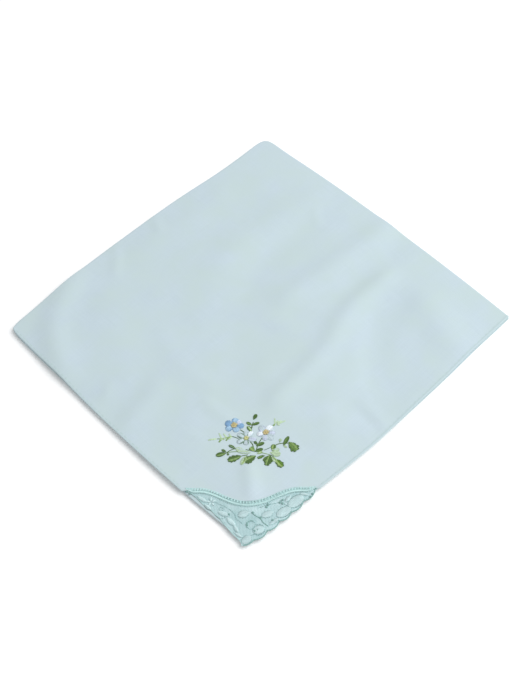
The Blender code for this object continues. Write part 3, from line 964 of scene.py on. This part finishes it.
# The embroidered spray is worked in stranded thread through the top layer: leaves and petals
# in satin stitch from their midribs or middles, stems in overlapping straight stitches, and
# the flowers' eyes in knots.
THREAD_COLOURS = {
    "dark": (78, 111, 50), "green": (104, 139, 68), "leaf": (133, 165, 96),
    "bright": (100, 141, 44), "lime": (158, 186, 112), "pale": (188, 212, 178),
    "sage": (128, 155, 138), "blue": (128, 168, 205), "sky": (162, 195, 220),
    "lilac": (198, 209, 227), "white": (228, 238, 245), "faint": (192, 209, 215),
    "yellow": (208, 201, 150), "orange": (206, 186, 134),
}
# The least and the most light of a stitch against its thread's colour
TINTS = (0.86, 1.14)
# The spray's foot, from the free corner; places in the spray are across and up from it
SPRAY_FOOT = np.array([0.2, 41.2])
# Leaves: threads at the rim and left and right of the midrib, base, length, turn, width, lobes
LEAVES = (
    ("dark", "dark", "dark", 0.5, 14.5, 2.5, 65, 1.5, 0),
    ("dark", "green", "dark", 0, 12, 3, 20, 1.2, 0),
    ("dark", "leaf", "green", 0, 12, 2.5, 150, 1.2, 0),
    ("dark", "leaf", "pale", 0, 9, 3, 125, 1.5, 0),
    ("dark", "leaf", "dark", -9.5, -0.5, 4, 195, 2, 0),
    ("dark", "dark", "green", -9.5, 0, 2, 150, 1, 0),
    ("dark", "green", "green", -9, -0.5, 1, -65, 0.8, 0),
    ("dark", "sage", "green", -6, 1.5, 3, 150, 1.2, 0),
    ("pale", "pale", "faint", -2.5, 0, 3.5, 155, 2, 0),
    ("pale", "faint", "pale", 0, -0.5, 5, 175, 1.4, 0),
    ("green", "lime", "leaf", 1.5, 0, 2.5, 135, 2, 0),
    ("dark", "dark", "dark", 2.5, 3, 2, 130, 1.1, 0),
    ("dark", "green", "dark", 2, 2.5, 3.3, 25, 1.5, 0),
    ("dark", "dark", "green", 1.5, 0, 3.3, 20, 1.5, 0),
    ("lime", "pale", "pale", 2.5, -1, 2, 25, 1, 0),
    ("green", "lime", "dark", 8.5, 0, 3, 85, 2, 0),
    ("pale", "pale", "pale", 7.5, -0.5, 4, -15, 2.5, 0),
    ("pale", "faint", "pale", 8, 0.5, 3, 5, 1.5, 0),
    ("dark", "green", "dark", 12.5, 2.5, 4.5, 65, 1.6, 0),
    ("pale", "pale", "pale", 11, 4, 1.5, 75, 1, 0),
    ("pale", "lime", "pale", 12.5, 2.5, 1.5, -35, 0.8, 0),
    ("dark", "leaf", "green", 14.5, 4, 5, -50, 4, 3),
    ("dark", "leaf", "dark", -3.5, -2, 5.5, 200, 3.2, 4),
    ("dark", "dark", "leaf", 2, -2, 5, 215, 4, 4),
    ("pale", "lime", "pale", -1.5, -2, 4.5, 245, 2, 0),
    ("dark", "green", "leaf", 5, -2, 2.5, 205, 1.4, 2),
    ("dark", "dark", "dark", 5.5, -2, 1.5, 185, 0.8, 0),
    ("dark", "dark", "leaf", 7.5, -1.5, 5, 255, 3, 3),
    ("dark", "dark", "green", 7, -2, 3, 225, 1.2, 0),
    ("dark", "dark", "dark", 7.5, -2, 3, -75, 1, 0),
    ("pale", "leaf", "pale", 8, -2.5, 3, -45, 1.6, 0),
    ("dark", "bright", "lime", 9.5, -3.5, 4.5, -50, 2.9, 3),
)
# Blades of three stitches: thread, base, length and turn
BLADES = (
    ("pale", 9, 12, 3, 95), ("pale", 9.5, 12, 4, 25), ("pale", 9.5, 12.5, 2.5, 30),
    ("leaf", 9, 12, 1, 205), ("pale", 9.5, 12, 1.5, -10), ("pale", 9.5, 12.5, 1.5, 70),
    ("pale", -14, 6, 3, 190), ("pale", -13.5, 6, 3, 185), ("pale", -11.5, 6, 3, 115),
    ("leaf", -11.5, 6, 2, 235), ("pale", -11, 6, 1.5, 190), ("pale", -9.5, 6.5, 2.5, 130),
    ("leaf", -8.5, 7, 2.5, 235), ("pale", -8, 7, 1.5, 125), ("pale", -10, 6.5, 1.5, 225),
    ("pale", -7.5, 7, 2, 225),
)
# Stems: thread and the points they run through
STEMS = (
    ("dark", ((-4.5, 10), (-2.5, 8.5))),
    ("dark", ((0.5, 13.5), (0, 12), (0, 10.5), (-1, 9))),
    ("dark", ((-7.5, 7), (-5, 6))),
    ("leaf", ((-13.5, 6), (-11.5, 6), (-9.5, 6.5), (-7.5, 7))),
    ("dark", ((-9.5, -0.5), (-7.5, 1), (-5.5, 1.5))),
    ("dark", ((-0.5, 4.5), (0.5, 3.5), (1, 1.5))),
    ("dark", ((4.5, 6.5), (3.5, 5), (2.5, 2.5), (2, 0))),
    ("sage", ((5, 0.5), (7, 1.5), (9, 2.5))),
    ("dark", ((9, 2.5), (11, 3.5), (12.5, 3.5), (14.5, 3.5))),
    ("green", ((7.5, -1.5), (9, -2.5), (10, -4))),
    ("leaf", ((-9.5, -0.5), (-7.5, 0), (-2.5, 0))),
    ("leaf", ((2, 0), (4, -0.5), (7.5, -1.5))),
    ("dark", ((-2, 1), (-0.5, 0.5))),
    ("dark", ((-3.5, -2), (-1, -1.5))),
)
# Flowers: middle, radius and threads of the eye, then each petal's turn, the distance of its
# middle, its width and its threads at the rim and inside
FLOWERS = (
    (-7, 12, 1.15, "yellow", "orange", (
        (80, 2.3, 2.5, "blue", "sky"), (35, 2.3, 2.5, "sky", "lilac"),
        (-5, 2.6, 2.5, "blue", "blue"), (-65, 2.3, 2.5, "sky", "sky"),
        (215, 2.5, 2.7, "blue", "sky"), (160, 2.5, 2.7, "blue", "blue"))),
    (5.5, 8.5, 1.1, "orange", "yellow", (
        (55, 2.5, 2.7, "white", "white"), (195, 2.4, 2.4, "lilac", "white"),
        (130, 2.6, 2.6, "lilac", "faint"), (-5, 2.4, 2.3, "faint", "lilac"),
        (-50, 2.8, 2.3, "faint", "faint"), (265, 2.4, 2.4, "faint", "lilac"))),
    (-2, 6, 0.85, "yellow", "lime", (
        (55, 2.5, 1.9, "faint", "white"), (95, 2, 1.9, "sage", "faint"),
        (150, 2.5, 2.2, "sage", "faint"), (210, 2.5, 2.3, "sage", "faint"),
        (270, 2, 2.1, "sage", "faint"), (-10, 2.5, 2.1, "faint", "lilac"))),
)
# Leaves: pitch and radius of the stitches, and where they start and end along the leaf
FILL_PITCH, FILL_RADIUS, LEAF_ENDS = 0.27, 0.155, (0.02, 0.93)
# How full a leaf's outline is and how far its widest place lies towards the base, how deep the
# notches go, and the slant of the stitches; where the inner ones meet the rim's, how uneven
# that is, how far they overlap, and how far from the rib they start
LEAF_FULLNESS, LEAF_SKEW, NOTCH_DEPTH, LEAF_SLANT = 0.7, 0.85, 0.32, 0.75
MEETING, UNEVEN, OVERLAP, RIB_GAP = 0.68, 0.08, 0.1, 0.06
# Blades: how far apart the stitches start, and the share left at the tip; stems: half a stitch
BLADE_GAP, BLADE_TIP, STEM_STEP = 0.22, 0.4, 0.75
# Eyes: knots, the turn from one to the next on the spiral, half a knot's length, its radius
EYE_KNOTS, GOLDEN_TURN, EYE_HALF_STITCH, EYE_THREAD = 22, 2.399963, 0.26, 0.21
# Petals: stitches, where they start as a share of the eye's radius and of the width, how far
# the outermost ones reach, and how far from the middle the rim's thread starts
PETAL_STITCHES, PETAL_START, PETAL_FOOT, PETAL_SHOULDER, RIM_FROM = 12, 0.8, 0.30, 0.62, 0.7
spray_rng = np.random.default_rng(5)


def plan_of(places):
    """World plan of places given across and up from the spray's foot."""
    places = np.asarray(places, float) + SPRAY_FOOT
    return from_corner(places[..., 0], places[..., 1])


def thread_tint(names):
    """Linear colours of named threads, each stitch a little lighter or darker than the next."""
    colours = np.array([linear(*THREAD_COLOURS[name]) for name in names])
    shade = spray_rng.uniform(*TINTS, (len(colours), 1))
    return np.column_stack([np.clip(colours[:, :3] * shade, 0, 1), np.ones(len(colours))])


def towards(turn):
    """Unit direction at a turn in degrees from across, and the one square to it."""
    turn = math.radians(turn)
    return np.array([[math.cos(turn), math.sin(turn)], [-math.sin(turn), math.cos(turn)]])


def leaf(rim, left, right, across, up, length, turn, width, notches):
    """Long and short satin stitches that slant from a midrib to the leaf's outline.

    The half width is sin(pi share^skew)^fullness of the share along the leaf. A lobed leaf
    loses up to a third of it at each notch. The outer stitches are in the rim's thread, and
    meet the inner ones along a line that is uneven by turns.
    """
    base = np.array([across, up])
    forward, side = towards(turn)
    share = np.linspace(*LEAF_ENDS, max(int(length / FILL_PITCH), 4))
    half = width / 2 * np.sin(math.pi * share**LEAF_SKEW) ** LEAF_FULLNESS
    if notches:
        half = half * (1 - NOTCH_DEPTH + NOTCH_DEPTH * np.abs(np.sin(math.pi * notches * share)))
    rib = base + share[:, None] * length * forward
    reach = np.minimum(share + LEAF_SLANT * half / length, 1.0)
    uneven = UNEVEN * (-1) ** np.arange(len(share))[:, None]
    starts, ends, names = [], [], []
    for hand, name in ((1, left), (-1, right)):
        inner = rib - hand * RIB_GAP * side
        outer = base + reach[:, None] * length * forward + hand * half[:, None] * side
        meeting = inner + (MEETING + uneven) * (outer - inner)
        starts += [inner, meeting - OVERLAP * (outer - inner)]
        ends += [meeting, outer]
        names += [name] * len(share) + [rim] * len(share)
    return stitches(plan_of(np.concatenate(starts)), plan_of(np.concatenate(ends)), top_face,
                    thread_tint(names), FILL_RADIUS, crown=0.12, lift=0.05)


def blade(name, across, up, length, turn):
    """Three long stitches side by side that draw together at the tip."""
    forward, side = towards(turn)
    base, side = np.array([across, up]), BLADE_GAP * side
    tip = base + length * forward
    return stitches(plan_of([base - side, base, base + side]),
                    plan_of([tip - BLADE_TIP * side, tip, tip + BLADE_TIP * side]), top_face,
                    thread_tint([name] * 3), radius=0.17, crown=0.06)


def stem(name, points):
    """Straight stitches two steps long on a curve, each starting half way along the last."""
    path = even_path(smooth_line(points), STEM_STEP)
    return stitches(plan_of(path[:-2]), plan_of(path[2:]), top_face,
                    thread_tint([name] * (len(path) - 2)), radius=0.16, crown=0.06, lift=0.02)


def eye_knots(middle, radius, first, second):
    """A bed of small knots: short fat stitches set on a sunflower spiral."""
    number = np.arange(EYE_KNOTS)
    reach = radius * np.sqrt((number + 0.5) / EYE_KNOTS)
    place = middle + reach[:, None] * directions(GOLDEN_TURN * number)
    half = EYE_HALF_STITCH * directions(spray_rng.uniform(0, math.pi, EYE_KNOTS))
    names = [first if k % 3 else second for k in number]
    return stitches(plan_of(place - half), plan_of(place + half), top_face,
                    thread_tint(names), EYE_THREAD, crown=0.22, lift=0.22)


def flower(across, up, eye, first, second, petals):
    """Petals of stitches that fan from the eye to a rounded outline, and the eye's knots."""
    middle = np.array([across, up])
    bundles = []
    fan = np.linspace(-1, 1, PETAL_STITCHES)
    rounded = PETAL_SHOULDER + (1 - PETAL_SHOULDER) * np.sqrt(1 - fan**2)
    for turn, reach, width, rim, inside in petals:
        axis, side = towards(turn)
        ends_at = eye + 2 * (reach - eye) * rounded
        starts = middle + PETAL_START * eye * axis + PETAL_FOOT * width * fan[:, None] * side
        ends = middle + ends_at[:, None] * axis + width / 2 * fan[:, None] * side
        names = [rim if abs(place) > RIM_FROM else inside for place in fan]
        bundles.append(stitches(plan_of(starts), plan_of(ends), top_face, thread_tint(names),
                                radius=0.16, crown=0.16, lift=0.05))
    bundles.append(eye_knots(middle, eye, first, second))
    return bundles


spray = {
    "embroidered_leaves": [leaf(*row) for row in LEAVES] + [blade(*row) for row in BLADES],
    "embroidered_stems": [stem(*row) for row in STEMS],
    "embroidered_flowers": [bundle for row in FLOWERS for bundle in flower(*row)],
}
spray_thread = thread_material("stranded_thread", strand_pitch=0.9, sheen=0.25)
for name, bundles in spray.items():
    piece = sewn_piece(name, bundles)
    piece.data.materials.append(spray_thread)
    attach(piece, "root")


# The studio: a plain white floor, an even pale light all round, and one large soft light from
# the right of the photo. The camera stands where the photo was taken from.
FLOOR_SIZE = 3000.0
CAMERA_ELEVATION, CAMERA_AZIMUTH, CAMERA_ROLL = (math.radians(a) for a in (53.97, 54.10, -8.68))
CAMERA_DISTANCE, CAMERA_RIGHT, CAMERA_UP = 611.06, 0.67, -8.12
CAMERA_LENS, SENSOR = 78.49, 36.0
FLOOR_DEEP, FLOOR_PALE, GRAIN_SCALE, GRAIN_DEPTH = (250, 250, 250), (254, 254, 254), 900.0, 0.01
# The large light, in metres and watts, and the light all round
KEY_SIZE, KEY_POWER, KEY_DISTANCE, KEY_DIRECTION = 1.2, 17.5, 1.4, (0.44, 0.45, 0.78)
SKY_COLOUR, SKY_STRENGTH = (0.98, 0.99, 1.0, 1.0), 0.62


def floor_material():
    """White card, matt and very slightly mottled."""
    nodes = Nodes("white_card")
    grain = nodes.noise(nodes.place(), GRAIN_SCALE)
    colour = nodes.blend(grain, linear(*FLOOR_DEEP), linear(*FLOOR_PALE))
    return nodes.finish(colour, grain, GRAIN_DEPTH * MM, Roughness=0.9, Specular_IOR_Level=0.2)


floor_corners = FLOOR_SIZE / 2 * np.array([(-1, -1, 0), (1, -1, 0), (1, 1, 0), (-1, 1, 0)])
floor = new_piece("floor", floor_corners, np.array([(0, 1, 2, 3)]))
floor.data.materials.append(floor_material())

back = Vector((math.sin(CAMERA_AZIMUTH) * math.cos(CAMERA_ELEVATION),
               -math.cos(CAMERA_AZIMUTH) * math.cos(CAMERA_ELEVATION),
               math.sin(CAMERA_ELEVATION)))
level_right = (-back).cross(Vector((0, 0, 1))).normalized()
level_up = level_right.cross(-back)
right = level_right * math.cos(CAMERA_ROLL) + level_up * math.sin(CAMERA_ROLL)
up = level_up * math.cos(CAMERA_ROLL) - level_right * math.sin(CAMERA_ROLL)
camera_data = bpy.data.cameras.new("photo_camera")
camera_data.lens = CAMERA_LENS
camera_data.sensor_width = SENSOR
camera = bpy.data.objects.new("photo_camera", camera_data)
camera.matrix_world = Matrix((right, up, back)).transposed().to_4x4()
camera.location = (back * CAMERA_DISTANCE + right * CAMERA_RIGHT + up * CAMERA_UP
                   + Vector((0, 0, TOP_MIDDLE))) * MM
bpy.context.scene.collection.objects.link(camera)
bpy.context.scene.camera = camera

key_data = bpy.data.lights.new("soft_key", "AREA")
key_data.shape = "SQUARE"
key_data.size = KEY_SIZE
key_data.energy = KEY_POWER
key = bpy.data.objects.new("soft_key", key_data)
towards_key = Vector(KEY_DIRECTION).normalized()
key.location = towards_key * KEY_DISTANCE
key.rotation_euler = towards_key.to_track_quat("Z", "Y").to_euler()
bpy.context.scene.collection.objects.link(key)

world = bpy.data.worlds.new("even_light")
world.use_nodes = True
background = world.node_tree.nodes["Background"]
background.inputs["Color"].default_value = SKY_COLOUR
background.inputs["Strength"].default_value = SKY_STRENGTH
bpy.context.scene.world = world
bpy.context.scene.view_settings.view_transform = "Standard"
